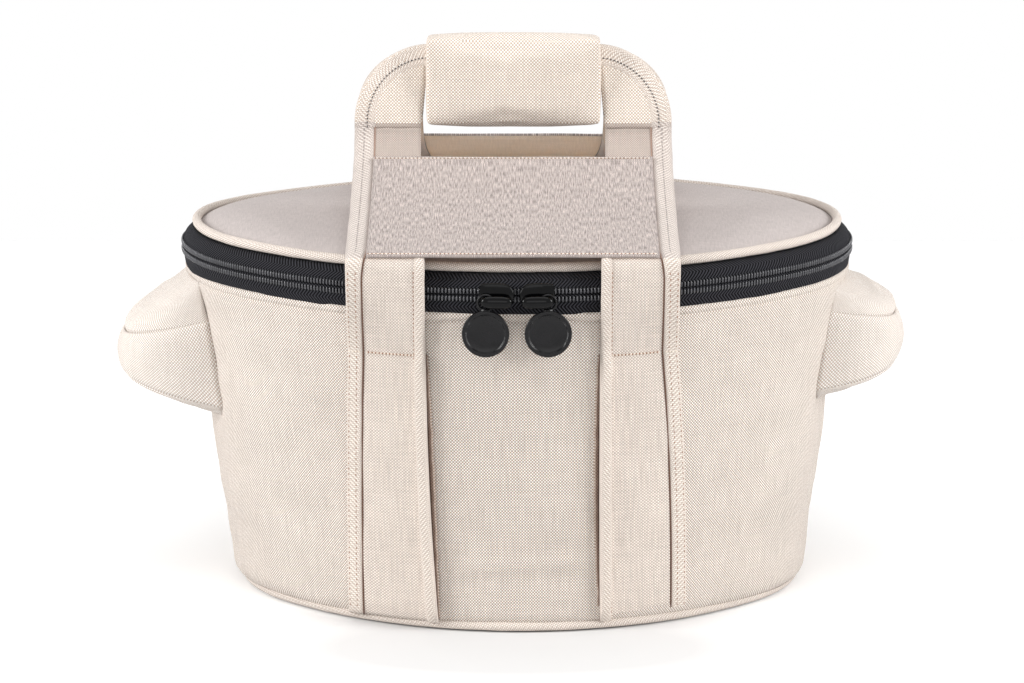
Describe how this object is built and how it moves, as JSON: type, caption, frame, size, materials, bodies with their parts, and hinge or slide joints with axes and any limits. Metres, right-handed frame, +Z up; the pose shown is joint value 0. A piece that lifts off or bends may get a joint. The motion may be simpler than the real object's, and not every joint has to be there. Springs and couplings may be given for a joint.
{
  "type": "casserole carrier",
  "caption": "Soft insulated oval bag for a lidded casserole, with a zipped lid, carrying handles joined at a padded grip, and side pockets for the pot's handles.",
  "frame": {"origin": "centre of the base on the floor", "axes": "+X along the long side across the front, +Y from the front to the rear hinge, +Z up"},
  "size_m": [0.4194, 0.2804, 0.2933],
  "materials": {
    "canvas": "matte",
    "webbing": "matte",
    "grey_cloth": "matte",
    "piping": "matte",
    "lining": "satin",
    "foam": "matte",
    "board": "matte",
    "zip_tape": "matte",
    "zip_coil": "satin",
    "zip_metal": "gloss"
  },
  "bodies": {
    "bag": {"wall_cloth": "canvas", "wall_foam": "foam", "wall_lining": "lining", "base_panel": "canvas", "base_board": "board", "base_foam": "foam", "base_lining": "lining", "base_piping": "piping", "lower_zip_tape": "zip_tape", "lower_zip_coil": "zip_coil", "hinge_strip": "canvas", "left_zip_stop": "zip_metal", "right_zip_stop": "zip_metal", "front_left_strap": "webbing", "front_right_strap": "webbing", "rear_left_strap": "webbing", "rear_right_strap": "webbing", "front_left_strap_bridge": "webbing", "front_right_strap_bridge": "webbing", "rear_left_strap_bridge": "webbing", "rear_right_strap_bridge": "webbing", "left_ear_band": "canvas", "left_ear_roof": "canvas", "left_ear_floor": "canvas", "right_ear_band": "canvas", "right_ear_roof": "canvas", "right_ear_floor": "canvas"},
    "lid": {"lid_piping": "piping", "lid_panel": "grey_cloth", "lid_foam": "foam", "lid_lining": "lining", "upper_zip_tape": "zip_tape", "upper_zip_coil": "zip_coil"},
    "front_handle": {"front_left_web": "webbing", "front_right_web": "webbing", "front_cross_panel": "grey_cloth", "front_arch": "webbing", "front_grip_pad": "canvas", "front_hook_strip": "zip_tape"},
    "rear_handle": {"rear_left_web": "webbing", "rear_right_web": "webbing", "rear_cross_panel": "grey_cloth", "rear_arch": "webbing", "rear_grip_pad": "canvas", "rear_loop_strip": "zip_tape"},
    "left_slider": {"left_zip_slider": "zip_metal"},
    "right_slider": {"right_zip_slider": "zip_metal"},
    "left_pull": {"left_zip_pull": "zip_metal"},
    "right_pull": {"right_zip_pull": "zip_metal"}
  },
  "joints": [
    {"name": "lid_hinge", "type": "hinge", "parent": "bag", "child": "lid", "pos_m": [0, 0.1355, 0.1951], "axis": [-1, 0, 0], "range_deg": [0, 95], "deforming": ["front_left_web", "front_right_web", "front_cross_panel"]},
    {"name": "front_handle_fold", "type": "hinge", "parent": "bag", "child": "front_handle", "pos_m": [0, -0.136, 0.2003], "axis": [1, 0, 0], "range_deg": [0, 209]},
    {"name": "rear_handle_fold", "type": "hinge", "parent": "bag", "child": "rear_handle", "pos_m": [0, 0.136, 0.2003], "axis": [-1, 0, 0], "range_deg": [0, 209]},
    {"name": "left_slider_run", "type": "hinge", "parent": "bag", "child": "left_slider", "pos_m": [0, 0.0714, 0.18245], "axis": [0, 0, -1], "range_deg": [0, 38], "deforming": ["front_left_strap_bridge"]},
    {"name": "right_slider_run", "type": "hinge", "parent": "bag", "child": "right_slider", "pos_m": [0, 0.0714, 0.18245], "axis": [0, 0, 1], "range_deg": [0, 38], "deforming": ["front_right_strap_bridge"]},
    {"name": "left_pull_swing", "type": "hinge", "parent": "left_slider", "child": "left_pull", "pos_m": [-0.01545, -0.139, 0.17945], "axis": [0.0472, 0.9989, 0], "range_deg": [-8, 100]},
    {"name": "right_pull_swing", "type": "hinge", "parent": "right_slider", "child": "right_pull", "pos_m": [0.01545, -0.139, 0.17945], "axis": [0.0472, -0.9989, 0], "range_deg": [-8, 100]}
  ],
  "couplings": [
    {"joint": "front_handle_fold", "follows": "lid_hinge", "ratio": 2.2},
    {"joint": "rear_handle_fold", "follows": "lid_hinge", "ratio": 2.2}
  ]
}
